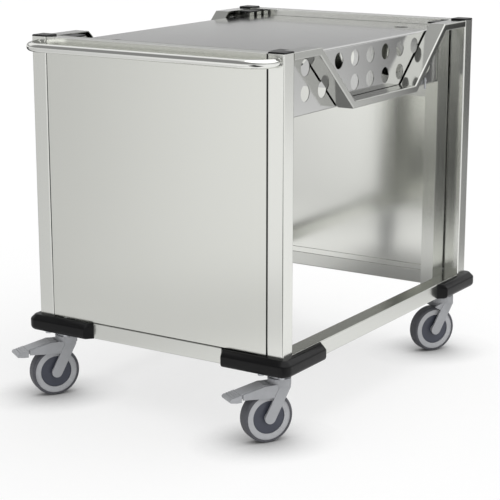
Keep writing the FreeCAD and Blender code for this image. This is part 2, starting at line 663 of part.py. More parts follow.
def castor_fork(name, end, face, braked):
    """The swivelling half of a castor: a crown, two leaning legs, and plates beside the wheel."""
    body = new_body(name)
    legs = new_sketch(body, "XZ_Plane")
    across = f"(fork_leg_width / 2 * cos({LEG_TILT}))"
    rise = f"(fork_leg_width / 2 * sin({LEG_TILT}))"
    level = f"(fork_leg_width / 2 / cos({LEG_TILT}))"
    back = f"(fork_back_trim - fork_leg_ahead - {level})"
    polygon(legs, [(back, CROWN_TOP),
                   (back, f"{CROWN_TOP} - fork_back_trim / tan({LEG_TILT})"),
                   (f"castor_trail - {across}", f"{WHEEL_RADIUS} - {rise}"),
                   (f"castor_trail + {across}", f"{WHEEL_RADIUS} + {rise}"),
                   (f"{level} - fork_leg_ahead", CROWN_TOP)])
    pad(body, legs, FORK_WIDTH, symmetric=True)
    foot = new_sketch(body, "XZ_Plane")
    circle(foot, "castor_trail", WHEEL_RADIUS, "fork_leg_width")
    pad(body, foot, FORK_WIDTH, symmetric=True)
    plates = new_sketch(body, "XZ_Plane")
    length, shares = ("hood_length", HOOD_SHARES) if braked else ("shoulder_length", SHOULDER_SHARES)
    polygon(plates, [(f"{along} * {length}", f"{high} * {CROWN_LOW}") for along, high in shares])
    pad(body, plates, f"{FORK_WIDTH} - 2 * hood_step", symmetric=True)
    crown = new_sketch(body, "XY_Plane", CROWN_LOW)
    circle(crown, "0", "0", "fork_crown")
    pad(body, crown, "fork_crown_height")
    gap = new_sketch(body, "XY_Plane", CROWN_LOW)
    rectangle(gap, both("castor_trail + fork_crown + hood_length"), both("fork_gap / 2"))
    pocket(body, gap, CROWN_LOW)
    if braked:
        pedal_gap = new_sketch(body, "XY_Plane", CROWN_TOP)
        rectangle(pedal_gap, ("fork_crown / 2", "fork_crown + hood_length"), both("fork_gap / 2"))
        pocket(body, pedal_gap, "fork_crown_height + cut_over")
        pin_bore = new_sketch(body, "XZ_Plane")
        circle(pin_bore, "pedal_pivot_along", PIVOT_Z, "pedal_pin + 2 * axle_play")
        pocket(body, pin_bore, f"{PIN_LENGTH} + 2 * fork_side_play", symmetric=True)
    axle_bore = new_sketch(body, "XZ_Plane")
    circle(axle_bore, "castor_trail", WHEEL_RADIUS, "axle_diameter + 2 * axle_play")
    pocket(body, axle_bore, f"{FORK_WIDTH} - 2 * axle_cover", symmetric=True)
    king = new_sketch(body, "XY_Plane", CROWN_TOP)
    circle(king, "0", "0", "kingpin_diameter + 2 * axle_play")
    pocket(body, king, "fork_crown_height - kingpin_cover")
    return on_castor(body, end, face)


def turned_piece(name, profile, end, face):
    """A piece turned about the wheel's axle from a profile of radius and width."""
    body = new_body(name)
    sketch = new_sketch(body, "XZ_Plane")
    polygon(sketch, profile)
    revolve(body, sketch)
    lying = Rotation(Vector(1, 0, 0), 90)
    return on_castor(body, end, face, "castor_trail", WHEEL_RADIUS, lying)


TYRE_BED = f"({WHEEL_RADIUS} - tyre_depth)"
RIM_INNER = f"({TYRE_BED} - rim_depth)"


def tyre(name, end, face):
    half = "tyre_width / 2"
    body = turned_piece(name, [(TYRE_BED, f"-{half}"), (WHEEL_RADIUS, f"-{half}"), (WHEEL_RADIUS, half),
                               (TYRE_BED, half)], end, face)
    fillet(body, "tyre_shoulder", lambda edge: edge.Curve.TypeId == "Part::GeomCircle"
           and near(edge.Curve.Radius, WHEEL_RADIUS))
    return body


def wheel_core(name, end, face):
    bore = "(axle_diameter / 2 + axle_play)"
    hub = "hub_diameter / 2"
    hub_half = "(fork_gap / 2 - fork_side_play)"
    right = [(bore, hub_half), (hub, hub_half), (hub, "web_width / 2"), (RIM_INNER, "web_width / 2"),
             (RIM_INNER, "rim_width / 2"), (TYRE_BED, "rim_width / 2")]
    left = [(radius, f"-({width})") for radius, width in reversed(right)]
    return turned_piece(name, right + left, end, face)


def hub_covers(name, end, face):
    outside = "(rim_width / 2 - hub_cover_sink)"
    inside = "(rim_width / 2 - hub_cover_sink - hub_cover_sheet)"
    near_hub = "(hub_diameter / 2 + hub_cover_play)"
    near_rim = f"({RIM_INNER} - hub_cover_play)"
    discs = []
    for sign in (-1, 1):
        profile = [(near_hub, f"{sign} * {inside}"), (near_rim, f"{sign} * {inside}"),
                   (near_rim, f"{sign} * {outside}"), (near_hub, f"{sign} * {outside}")]
        discs.append(turned_piece(f"{name}_disc", profile, end, face))
    return group(name, discs)


def castor_axle(name, end, face):
    shaft = "axle_diameter / 2"
    tip = f"({FORK_WIDTH} / 2 - axle_cover)"
    return turned_piece(name, [("0", f"-{tip}"), (shaft, f"-{tip}"), (shaft, tip), ("0", tip)], end, face)


# Outlines of a pedal: shares of its length from the swivel axis, and of the crown's height above the floor
LEVER_SHARES = [(0.165, 0.965), (0.228, 0.99), (0.228, 1.055), (0.35, 1.063), (0.755, 0.965), (0.79, 0.955),
                (0.79, 0.87), (0.72, 0.893), (0.435, 0.967), (0.26, 0.977), (0.19, 0.945)]
TIP_SHARES = [(0.957, 0.912), (0.99, 0.895), (1.0, 0.87), (0.985, 0.84), (0.87, 0.822)]
GROOVE_SHARES = [(0.8, 0.954), (0.845, 0.943), (0.89, 0.931), (0.935, 0.919)]


def brake_pedal(name, end, face):
    """A moulded lever that swings between the plates of the fork, with a grooved tip past their end."""
    body = new_body(name)

    def spots(shares):
        return [(f"{along} * pedal_length", f"{high} * {CROWN_LOW}") for along, high in shares]

    lever = new_sketch(body, "XZ_Plane")
    polygon(lever, spots(LEVER_SHARES))
    pad(body, lever, "fork_gap - 2 * fork_side_play", symmetric=True)
    tip = new_sketch(body, "XZ_Plane")
    inner = "(hood_length + pedal_seam)"
    polygon(tip, [(inner, f"{LEVER_SHARES[5][1]} * {CROWN_LOW}")] + spots(TIP_SHARES)
            + [(inner, f"{TIP_SHARES[-1][1]} * {CROWN_LOW}")])
    pad(body, tip, f"{FORK_WIDTH} - 2 * hood_step", symmetric=True)
    hub = new_sketch(body, "XZ_Plane")
    circle(hub, "pedal_pivot_along", PIVOT_Z, "pedal_hub")
    pad(body, hub, "fork_gap - 2 * fork_side_play", symmetric=True)
    pivot = new_sketch(body, "XZ_Plane")
    circle(pivot, "pedal_pivot_along", PIVOT_Z, "pedal_pin")
    pad(body, pivot, PIN_LENGTH, symmetric=True)
    grooves = new_sketch(body, "XZ_Plane")
    for along, high in spots(GROOVE_SHARES):
        circle(grooves, along, high, "pedal_groove")
    pocket(body, grooves, FORK_WIDTH, symmetric=True)
    return on_castor(body, end, face)


# Platform

def platform_deck():
    """One folded sheet: deck, two perforated skirts with turned-in edges, and a tongue at each end."""
    body = new_body("platform_deck")
    section = new_sketch(body, "YZ_Plane")
    inner = f"({SKIRT_HALF} - deck_sheet)"
    lip = f"({SKIRT_HALF} - skirt_return)"
    lip_top = f"({SKIRT_LOW} + deck_sheet)"
    right = [(SKIRT_HALF, DECK_LEVEL), (SKIRT_HALF, SKIRT_LOW), (lip, SKIRT_LOW), (lip, lip_top),
             (inner, lip_top), (inner, DECK_UNDER)]
    left = [(f"-{y}", z) for y, z in reversed(right)]
    polygon(section, right + left)
    pad(body, section, f"2 * {SKIRT_END}", symmetric=True)

    def bend_at(half, levels):
        return lambda edge: (runs_along(edge, "x") and near(abs(edge.CenterOfMass.y), half)
                             and any(near(edge.CenterOfMass.z, level) for level in levels))

    fillet(body, "deck_bend", bend_at(SKIRT_HALF, (DECK_LEVEL, SKIRT_LOW)))
    fillet(body, "deck_bend - deck_sheet", bend_at(inner, (DECK_UNDER, lip_top)))
    tongue = new_sketch(body, "XY_Plane", DECK_UNDER)
    rectangle(tongue, both(DECK_END), both(TONGUE_HALF))
    pad(body, tongue, "deck_sheet")
    fingers = new_sketch(body, "XY_Plane", DECK_LEVEL)
    for sign in (-1, 1):
        circle(fingers, f"{sign} * ({DECK_END} - finger_hole_end)",
               f"{-sign} * ({SKIRT_HALF} - finger_hole_side)", "finger_hole")
    pocket(body, fingers, "2 * deck_sheet")
    holes = new_sketch(body, "XZ_Plane")
    gaps = f"floor((2 * {SKIRT_END} - 2 * hole_end_margin - skirt_hole) / hole_pitch)"
    start = f"(-hole_pitch * {gaps} / 2)"
    for row in ("hole_row_low", "(hole_row_low + hole_row_pitch)"):
        circle(holes, start, f"{SKIRT_LOW} + {row}", "skirt_hole")
    first = pocket(body, holes, "frame_width", symmetric=True)
    doc.recompute()
    pattern = body.newObject("PartDesign::LinearPattern", "LinearPattern")
    pattern.Originals = [first]
    pattern.Direction = (holes, ["H_Axis"])
    bind(pattern, Length=f"hole_pitch * {gaps}", Occurrences=f"{gaps} + 1")
    body.Tip = pattern
    return body


def platform_rib(name, end):
    """A plate under each end of the platform that carries two guide shoes."""
    plate = box(name + "_plate", side(end, f"{COLUMN_X} - rib_sheet / 2", f"{COLUMN_X} + rib_sheet / 2"),
                both(TONGUE_HALF), (RIB_LOW, DECK_UNDER))
    windows = []
    for share in (-1, 0, 1):
        window = cylinder(name + "_window", "rib_window", "0", "0", ("0", "rib_sheet + 2 * cut_over"))
        place(window, f"{end} * {COLUMN_X} - rib_sheet / 2 - cut_over", f"{share} * rib_window_pitch",
              f"{RIB_LOW} + rib_height / 2", Rotation(Vector(0, 1, 0), 90))
        windows.append(window)
    return cut(name, plate, windows)


def guide_shoe(name, end, face):
    """A plastic T that slides in a guide column."""
    body = new_body(name)
    sketch = new_sketch(body, "XY_Plane")
    head = "(column_width / 2 - column_wall - shoe_clearance)"
    deep = "(column_depth / 2 - column_wall - shoe_clearance)"
    neck = "(column_slot / 2 - shoe_clearance)"
    seat = "(column_depth / 2 + deck_column_gap)"
    polygon(sketch, [(f"-{head}", f"-{deep}"), (head, f"-{deep}"), (head, deep), (neck, deep), (neck, seat),
                     (f"-{neck}", seat), (f"-{neck}", deep), (f"-{head}", deep)])
    pad(body, sketch, "shoe_height")
    turn = turned(0 if face < 0 else 2)
    return place(body, f"{end} * {COLUMN_X}", f"{face} * {COLUMN_Y}",
                 f"{DECK_UNDER} - shoe_below_deck - shoe_height", turn)


def spring_place(end, share):
    return f"{end} * {SPRING_X}", f"{share} * ({YOKE_HALF} - spring_end_inset)"


def spring_hole(name, end, share, low, high):
    return cylinder(name, "spring_wire + 2 * spring_hole_play", *spring_place(end, share),
                    (f"{low} - cut_over", f"{high} + cut_over"))


def spring_yoke(name, end):
    """Two arms through the inner panel, and an angle that pulls the lower spring ends."""
    high = f"({RIB_LOW} + yoke_height)"
    shelf_top = f"({RIB_LOW} + hanger_sheet)"
    bar_half = f"({YOKE_ARM} + yoke_sheet / 2)"
    bar = box(name + "_bar", side(end, YOKE_X, f"{YOKE_X} + yoke_sheet"), both(bar_half), (RIB_LOW, high))
    shelf = box(name + "_shelf", side(end, YOKE_X, f"{YOKE_X} + yoke_sheet + yoke_shelf"),
                both(YOKE_HALF), (RIB_LOW, shelf_top))
    arms = [box(name + "_arm", side(end, f"{COLUMN_X} + rib_sheet / 2", YOKE_X),
                side(face, f"{YOKE_ARM} - yoke_sheet / 2", bar_half), (RIB_LOW, high))
            for face in SIDES.values()]
    holes = [spring_hole(name + "_hole", end, share, RIB_LOW, shelf_top) for share in SPRING_PLACE_SHARES]
    return cut(name, fuse(name + "_solid", [bar, shelf] + arms), holes)


def spring_hanger(name, end):
    """A shelf between the two panels of an end wall that holds the upper spring ends."""
    shelf = box(name + "_shelf", side(end, f"{INNER_LENGTH} + panel_sheet", f"{HALF_LENGTH} - panel_sheet"),
                both(YOKE_HALF), (f"{HANGER_TOP} - hanger_sheet", HANGER_TOP))
    holes = [spring_hole(name + "_hole", end, share, f"{HANGER_TOP} - hanger_sheet", HANGER_TOP)
             for share in SPRING_PLACE_SHARES]
    return cut(name, shelf, holes)


def tension_spring(name, end, share):
    """A close-wound spring as a plain rod, with a wire and a button at each end."""
    x, y = spring_place(end, share)
    lower_seat = RIB_LOW
    upper_seat = HANGER_TOP
    coil_low = f"({RIB_LOW} + hanger_sheet + spring_neck)"
    coil_high = f"({HANGER_TOP} - hanger_sheet - spring_neck)"
    parts = [cylinder(name + "_coil", "spring_coil", x, y, (coil_low, coil_high)),
             cylinder(name + "_wire", "spring_wire", x, y, (lower_seat, upper_seat)),
             cylinder(name + "_button", "spring_button", x, y,
                      (f"{lower_seat} - spring_button_height", lower_seat)),
             cylinder(name + "_button", "spring_button", x, y,
                      (upper_seat, f"{upper_seat} + spring_button_height"))]
    return fuse(name, parts)


# The whole cart, one object for each node

nodes = []
for corner, end, face in CORNERS:
    nodes.append(corner_post(f"corner_post_{corner}", end, face))
    nodes.append(guide_column(f"guide_column_{corner}", end, face))
    nodes.append(corner_bumper(f"corner_bumper_{corner}", end, face))
    nodes.append(castor_fork(f"castor_fork_{corner}", end, face, end == ENDS["handle"]))
    nodes.append(castor_axle(f"castor_axle_{corner}", end, face))
    nodes.append(tyre(f"tyre_{corner}", end, face))
    nodes.append(wheel_core(f"wheel_core_{corner}", end, face))
    nodes.append(hub_covers(f"hub_covers_{corner}", end, face))
for face_name, face in SIDES.items():
    nodes.append(rail_along_x(f"side_base_rail_{face_name}", face))
    nodes.append(top_tie(f"top_tie_{face_name}", face))
    nodes.append(brake_pedal(f"brake_pedal_{face_name}", ENDS["handle"], face))
for end_name, end in ENDS.items():
    nodes.append(outer_panel(f"outer_panel_{end_name}", end))
    nodes.append(inner_panel(f"inner_panel_{end_name}", end))
    nodes.append(rail_along_y(f"end_base_rail_{end_name}", "post_side", "base_rail_height",
                              side(end, INNER_LENGTH, HALF_LENGTH)[0], "frame_width", BASE_TOP))
    inside = "(post_side - 2 * panel_sheet)"
    nodes.append(rail_along_y(f"end_top_rail_{end_name}", inside, "top_rail_height",
                              side(end, f"{INNER_LENGTH} + panel_sheet", f"{HALF_LENGTH} - panel_sheet")[0],
                              f"2 * {INNER_WIDTH}", "frame_top"))
nodes.append(push_handle())
nodes.append(platform_deck())
nodes.append(group("post_caps", [
    tube_cap(f"post_cap_{corner}", "post_side", "post_side", "post_wall",
             f"{end} * ({HALF_LENGTH} - post_side / 2)", f"{face} * ({HALF_WIDTH} - post_side / 2)",
             "frame_top")
    for corner, end, face in CORNERS]))
nodes.append(group("column_caps", [
    tube_cap(f"column_cap_{corner}", "column_width", "column_depth", "column_wall",
             f"{end} * {COLUMN_X}", f"{face} * {COLUMN_Y}", COLUMN_TOP)
    for corner, end, face in CORNERS]))
nodes.append(group("corner_gussets", [corner_gusset(f"gusset_{corner}", end, face)
                                      for corner, end, face in CORNERS]))
nodes.append(group("castor_plates", [castor_plate(f"castor_plate_{corner}", end, face)
                                     for corner, end, face in CORNERS]))
nodes.append(group("castor_bolts", [castor_bolt(f"bolt_{corner}", end, face, sx, sy)
                                    for corner, end, face in CORNERS for sx, sy in BOLT_PLACES]))
nodes.append(group("guide_shoes", [guide_shoe(f"shoe_{corner}", end, face) for corner, end, face in CORNERS]))
nodes.append(group("platform_ribs", [platform_rib(f"rib_{name}", end) for name, end in ENDS.items()]))
nodes.append(group("spring_yokes", [spring_yoke(f"yoke_{name}", end) for name, end in ENDS.items()]))
nodes.append(group("spring_hangers", [spring_hanger(f"hanger_{name}", end) for name, end in ENDS.items()]))
nodes.append(group("tension_springs", [tension_spring(f"spring_{name}", end, share)
                                       for name, end in ENDS.items() for share in SPRING_PLACE_SHARES]))

doc.recompute()
for thing in doc.Objects:
    if {"Invalid", "Error"} & set(thing.State):
        raise RuntimeError(f"{thing.Label} failed: {thing.State}")
for node in nodes:
    if node.Shape.isNull() or not node.Shape.isValid() or not node.Shape.Solids:
        raise RuntimeError(f"{node.Label} has no valid solid")

os.makedirs("parts", exist_ok=True)
for node in nodes:
    node.Shape.exportStep(f"parts/{node.Label}.step")
print(f"{len(nodes)} nodes, {sum(len(node.Shape.Solids) for node in nodes)} solids")
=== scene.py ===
"""Looks of the self-leveling cart: a finish for every piece, small fittings, studio and camera."""
import json
import math

import bmesh
import bpy
from mathutils import Matrix, Vector


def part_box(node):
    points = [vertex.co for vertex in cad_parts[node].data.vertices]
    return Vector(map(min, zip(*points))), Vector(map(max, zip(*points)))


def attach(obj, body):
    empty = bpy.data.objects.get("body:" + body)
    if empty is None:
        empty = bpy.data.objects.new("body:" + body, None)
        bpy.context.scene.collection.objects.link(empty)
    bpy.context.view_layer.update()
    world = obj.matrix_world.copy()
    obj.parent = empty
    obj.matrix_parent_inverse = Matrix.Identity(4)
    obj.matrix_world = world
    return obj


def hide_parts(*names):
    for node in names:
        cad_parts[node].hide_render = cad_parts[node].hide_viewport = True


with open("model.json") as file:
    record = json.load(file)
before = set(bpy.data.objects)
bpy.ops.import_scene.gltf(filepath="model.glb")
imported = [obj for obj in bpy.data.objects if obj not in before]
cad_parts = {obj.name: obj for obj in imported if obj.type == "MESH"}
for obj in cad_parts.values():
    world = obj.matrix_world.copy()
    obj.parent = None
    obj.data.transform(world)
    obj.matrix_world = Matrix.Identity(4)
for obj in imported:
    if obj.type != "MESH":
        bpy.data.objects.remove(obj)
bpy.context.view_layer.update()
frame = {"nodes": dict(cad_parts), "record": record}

SCENE = bpy.context.scene
SCENE.view_settings.view_transform = "Standard"

# Camera of the photograph, fitted to the posts: place in metres, angles in degrees, lens in millimetres
CAMERA_PLACE = Vector((-3.4563, -2.1880, 1.3250))
CAMERA_YAW = 32.809
CAMERA_PITCH = 13.702
CAMERA_LENS = 114.72
CAMERA_SENSOR = 36

# Sky: tones that metal shows, where a strength of 1 is white, and the light that falls on the part
SKY_SEEN = {"horizon": 1.0, "low": 0.34, "ahead": 0.98, "behind": 0.28, "overhead": 0.7}
SKY_LIGHT = {"low": 0.95, "high": 0.35}

# Where the sky's tones change: sines of the height, and a heading in degrees from +X with cosines from it
HORIZON_EDGE = (0.083, 0.1)
UPPER_EDGE = (0.2, 0.36)
OVERHEAD_EDGE = (0.8, 0.95)
AHEAD_HEADING = 32.7
AHEAD_EDGE = (0.2, 0.55)

# Sun: strength, and angles in degrees
SUN_STRENGTH = 1.70
SUN_SPREAD = 90
SUN_HEIGHT = 64
SUN_TURN = -70

# Floor: lengths in metres
FLOOR_SIZE = 60
FLOOR_COLOUR = 0.99
FLOOR_GLOW = 0.62
FLOOR_GLOW_IN_METAL = 0.35
CONTACT_SHADOW_REACH = 0.14
CONTACT_SHADOW_POWER = 2.4
CONTACT_SHADOW_SAMPLES = 8

# Painted reflections: grey zones of the floor that only metal shows: how dim each is, and the ramps that
# bound it on the floor.
# Each ramp is a heading in degrees from +X, and where it starts and is full along that heading, in metres
PAINTED_REFLECTION_ZONES = [
    # Beyond the back corner of the handle end, and a band across that corner
    (0.36, [(135, 1.3, 1.75), (54, -0.95, 0.5)]),
    (0.24, [(135, 0.75, 1.05), (-45, -1.8, -1.35)]),
    # In front of the cart, near it and far off
    (0.80, [(-66.2, 0.62, 0.95), (62.4, -0.567, 0.082), (-90, 0.5, 0.9)]),
    (0.30, [(-33, 3.0, 7.0)]),
    # A strip that leads away from the front corner of the handle end
    (0.96, [(180, 0.7, 1.1), (-90, 0.5, 0.9), (-57.3, -1.05, -0.7), (122.7, -1.05, -0.7)]),
    # Behind the cart
    (0.92, [(0, -0.3, 0.2), (90, 0.45, 0.9), (180, -2.5, -1.6)]),
    # Under the cart: a painted shadow, that only metal shows
    (0.62, [(0, -0.65, -0.3), (180, -0.65, -0.3), (90, -0.5, -0.2), (-90, -0.5, -0.2)]),
]
DARKEST_PAINTED_REFLECTION = 0.05

# Span of a noise node's output that a finish makes use of, and the places of a mix node's colour sockets
NOISE_LOW = 0.3
NOISE_HIGH = 0.7
MIX_FIRST_COLOUR = 6
MIX_SECOND_COLOUR = 7
MIX_RESULT_COLOUR = 2


def heading(degrees):
    """The level direction at an angle from +X."""
    return math.cos(math.radians(degrees)), math.sin(math.radians(degrees)), 0


class Nodes:
    """Short calls for the nodes of a material or of the world."""

    def __init__(self, tree):
        self.tree = tree

    def add(self, kind, **settings):
        node = self.tree.nodes.new(kind)
        for name, setting in settings.items():
            setattr(node, name, setting)
        return node

    def link(self, source, target):
        self.tree.links.new(source, target)

    def fill(self, socket, term):
        """Set a socket to a number, or link it."""
        if isinstance(term, (int, float)):
            socket.default_value = term
        else:
            self.link(term, socket)

    def math(self, operation, *terms):
        node = self.add("ShaderNodeMath", operation=operation)
        for socket, term in zip(node.inputs, terms):
            self.fill(socket, term)
        return node.outputs["Value"]

    def weigh(self, first, first_weight, second, second_weight):
        """The sum of two terms, each times its weight."""
        return self.math("ADD", self.math("MULTIPLY", first, first_weight),
                         self.math("MULTIPLY", second, second_weight))

    def spread(self, source, low, high, start=NOISE_LOW, end=NOISE_HIGH, kind="LINEAR"):
        """The source's span from start to end, as numbers from low to high."""
        node = self.add("ShaderNodeMapRange", interpolation_type=kind)
        for name, number in (("From Min", start), ("From Max", end), ("To Min", low), ("To Max", high)):
            node.inputs[name].default_value = number
        self.link(source, node.inputs["Value"])
        return node.outputs["Result"]

    def along(self, place, direction):
        """How far a place lies along a direction."""
        node = self.add("ShaderNodeVectorMath", operation="DOT_PRODUCT")
        self.link(place, node.inputs[0])
        node.inputs[1].default_value = direction
        return node.outputs["Value"]

    def mix_shaders(self, factor, first, second):
        node = self.add("ShaderNodeMixShader")
        self.link(factor, node.inputs["Fac"])
        self.link(first, node.inputs[1])
        self.link(second, node.inputs[2])
        return node.outputs["Shader"]


class Finish(Nodes):
    """A material on the part. Places are in metres, in the part's frame."""

    def __init__(self, name, **sockets):
        self.material = bpy.data.materials.new(name)
        self.material.use_nodes = True
        super().__init__(self.material.node_tree)
        self.surface = self.tree.nodes["Principled BSDF"]
        self.place = self.add("ShaderNodeTexCoord").outputs["Object"]
        for socket, number in sockets.items():
            self.surface.inputs[socket.replace("_", " ")].default_value = number

    def into(self, socket, source):
        self.link(source, self.surface.inputs[socket])

    def noise(self, frequency, detail, roughness=0.5):
        """Noise with its own frequency along each axis, per metre."""
        mapping = self.add("ShaderNodeMapping")
        mapping.inputs["Scale"].default_value = frequency
        self.link(self.place, mapping.inputs["Vector"])
        noise = self.add("ShaderNodeTexNoise")
        noise.inputs["Scale"].default_value = 1.0
        noise.inputs["Detail"].default_value = detail
        noise.inputs["Roughness"].default_value = roughness
        self.link(mapping.outputs["Vector"], noise.inputs["Vector"])
        return noise.outputs["Fac"]

    def tint(self, factor, colour, contrast):
        """The base colour, darker and lighter by a contrast as a factor goes from 0 to 1."""
        node = self.add("ShaderNodeMix", data_type="RGBA")
        self.link(factor, node.inputs["Factor"])
        for socket, level in ((MIX_FIRST_COLOUR, 1 - contrast), (MIX_SECOND_COLOUR, 1 + contrast)):
            node.inputs[socket].default_value = (*(channel * level for channel in colour), 1)
        self.into("Base Color", node.outputs[MIX_RESULT_COLOUR])

    def bump(self, height, strength, distance):
        node = self.add("ShaderNodeBump")
        node.inputs["Strength"].default_value = strength
        node.inputs["Distance"].default_value = distance
        self.link(height, node.inputs["Height"])
        self.into("Normal", node.outputs["Normal"])


# Brushed steel: lines per metre across the grain and along it, clouds per metre, and what each adds
GRAIN_FINE = 1700
GRAIN_COARSE = 300
GRAIN_ALONG = 4
GRAIN_CLOUD = 2.5
FINE_WEIGHT = 0.6
LINES_WEIGHT = 0.6
GRAIN_ROUGHNESS_SPAN = 0.02
GRAIN_BUMP = {"strength": 0.02, "distance": 0.0001}


def grain(axis, across):
    """Frequencies of lines that run along an axis."""
    frequency = [across] * 3
    frequency["xyz".index(axis)] = GRAIN_ALONG
    return frequency


def brushed_steel(name, axis, colour, roughness, contrast):
    """Stainless steel brushed along an axis: fine and coarse lines, soft clouds, a matching roughness."""
    finish = Finish(name, Metallic=1.0)
    fine = finish.noise(grain(axis, GRAIN_FINE), detail=2.0)
    coarse = finish.noise(grain(axis, GRAIN_COARSE), detail=4.0)
    cloud = finish.noise([GRAIN_CLOUD] * 3, detail=2.0)
    lines = finish.weigh(fine, FINE_WEIGHT, coarse, 1 - FINE_WEIGHT)
    tone = finish.weigh(lines, LINES_WEIGHT, cloud, 1 - LINES_WEIGHT)
    finish.tint(finish.spread(tone, 0, 1), colour, contrast)
    smooth, rough = roughness - GRAIN_ROUGHNESS_SPAN, roughness + GRAIN_ROUGHNESS_SPAN
    finish.into("Roughness", finish.spread(lines, smooth, rough))
    finish.bump(fine, **GRAIN_BUMP)
    return finish.material


# Moulded plastic: grains of the skin and scuffs per metre, and how scuffs change the colour and roughness
PLASTIC_SKIN = 2600
PLASTIC_SCUFF = 24
PLASTIC_CONTRAST = 0.08
PLASTIC_SMOOTHER = 0.05
PLASTIC_ROUGHER = 0.07
PLASTIC_BUMP = {"strength": 0.05, "distance": 0.0002}


def moulded_plastic(name, colour, roughness, specular=0.5):
    """Moulded plastic with a fine spark-eroded skin and slight scuffing."""
    finish = Finish(name, Specular_IOR_Level=specular)
    eroded = finish.noise([PLASTIC_SKIN] * 3, detail=1.0)
    scuff = finish.noise([PLASTIC_SCUFF] * 3, detail=6.0, roughness=0.65)
    finish.tint(finish.spread(scuff, 0, 1), colour, PLASTIC_CONTRAST)
    smooth, rough = roughness - PLASTIC_SMOOTHER, roughness + PLASTIC_ROUGHER
    finish.into("Roughness", finish.spread(scuff, smooth, rough))
    finish.bump(eroded, **PLASTIC_BUMP)
    return finish.material


# Tread: dust and pores per metre
TREAD_DUST = 60
TREAD_PORES = 1800
TREAD_CONTRAST = 0.16
TREAD_ROUGHNESS = (0.5, 0.66)
TREAD_BUMP = {"strength": 0.15, "distance": 0.0005}


def rubber_tread(name, colour):
    """Tread: matt, with dust and fine wear."""
    finish = Finish(name)
    dust = finish.noise([TREAD_DUST] * 3, detail=6.0, roughness=0.7)
    pores = finish.noise([TREAD_PORES] * 3, detail=2.0)
    finish.tint(finish.spread(dust, 0, 1), colour, TREAD_CONTRAST)
    finish.into("Roughness", finish.spread(dust, *TREAD_ROUGHNESS))
    finish.bump(pores, **TREAD_BUMP)
    return finish.material


# Zinc plating: crystals and patches per metre, and what each adds
ZINC_CRYSTALS = 220
ZINC_PATCHES = 18
CRYSTAL_WEIGHT = 0.5
PATCH_WEIGHT = 0.7
ZINC_CONTRAST = 0.12
ZINC_ROUGHNESS = (0.3, 0.45)


def zinc_plate(name, colour):
    """Zinc plating: a faint crystal pattern and dull patches."""
    finish = Finish(name, Metallic=1.0)
    crystal = finish.add("ShaderNodeTexVoronoi")
    crystal.inputs["Scale"].default_value = ZINC_CRYSTALS
    finish.link(finish.place, crystal.inputs["Vector"])
    patch = finish.noise([ZINC_PATCHES] * 3, detail=5.0)
    tone = finish.weigh(crystal.outputs["Distance"], CRYSTAL_WEIGHT, patch, PATCH_WEIGHT)
    finish.tint(finish.spread(tone, 0, 1), colour, ZINC_CONTRAST)
    finish.into("Roughness", finish.spread(patch, *ZINC_ROUGHNESS))
    return finish.material


# Colour, roughness and contrast of the brushed steels, and those that are brushed upright on any piece
STEELS = {
    "panel_steel": ((0.73, 0.736, 0.695), 0.20, 0.016),
    # The two inner panels take a lighter and a darker copy of one steel: painted light on the far panel,
    # painted shade on the panel at the handle end
    "lit_inner_steel": ((0.86, 0.866, 0.824), 0.13, 0.016),
    "shaded_inner_steel": ((0.73, 0.736, 0.695), 0.13, 0.016),
    "post_steel": ((0.77, 0.776, 0.74), 0.18, 0.016),
    "frame_steel": ((0.70, 0.706, 0.672), 0.18, 0.018),
    # Frame steel made darker for the ties: painted shade on their slopes
    "shaded_tie_steel": ((0.53, 0.535, 0.51), 0.12, 0.018),
    "deck_steel": ((0.615, 0.617, 0.608), 0.13, 0.012),
    "polished_tube": ((0.80, 0.805, 0.775), 0.07, 0.01),
}
UPRIGHT_STEELS = ("panel_steel", "lit_inner_steel", "shaded_inner_steel")

# The other finishes, to which each brushed steel is added when a piece first needs it
FINISHES = {
    "zinc_steel": zinc_plate("zinc_steel", (0.50, 0.51, 0.53)),
    "black_plastic": moulded_plastic("black_plastic", (0.0035, 0.0035, 0.004), 0.33, specular=0.22),
    "castor_grey": moulded_plastic("castor_grey", (0.36, 0.367, 0.382), 0.42),
    "castor_rim": moulded_plastic("castor_rim", (0.42, 0.427, 0.442), 0.42),
    "tread_grey": rubber_tread("tread_grey", (0.08, 0.081, 0.092)),
    "hub_blue_grey": moulded_plastic("hub_blue_grey", (0.052, 0.057, 0.078), 0.4),
    "white_plastic": moulded_plastic("white_plastic", (0.78, 0.78, 0.76), 0.4),
}

# Nodes whose finish differs a little from the rest of their slot, by the start of their names
OWN_FINISH = {
    # Lighter and darker copies of one steel on the inner panels: painted light and painted shade
    "inner_panel_far": "lit_inner_steel",
    "inner_panel_handle": "shaded_inner_steel",
    # A darker copy of frame steel on the ties: painted shade
    "top_tie": "shaded_tie_steel",
    "wheel_core": "castor_rim",
}


def longest_axis(node):
    low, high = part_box(node)
    size = high - low
    return "xyz"[max(range(3), key=lambda index: size[index])]


def finish_for(kind, axis):
    """The material of a finish; steel is brushed along an axis."""
    if kind not in STEELS:
        return FINISHES[kind]
    if kind in UPRIGHT_STEELS:
        axis = "z"
    name = f"{kind}_{axis}"
    if name not in FINISHES:
        FINISHES[name] = brushed_steel(name, axis, *STEELS[kind])
    return FINISHES[name]


def finish_kind(part):
    """The name of the finish that a node takes: its own, or its slot's."""
    for start, kind in OWN_FINISH.items():
        if part["node"].startswith(start):
            return kind
    return part["material_slot"]


def dress_nodes():
    """Give every CAD node its finish."""
    for part in frame["record"]["subparts"]:
        node = frame["nodes"][part["node"]]
        finish = finish_for(finish_kind(part), longest_axis(part["node"]))
        if not node.material_slots:
            node.data.materials.append(finish)
        for slot in node.material_slots:
            slot.material = finish


SHARP_ANGLE = math.radians(40)
MERGE_DISTANCE = 1e-6


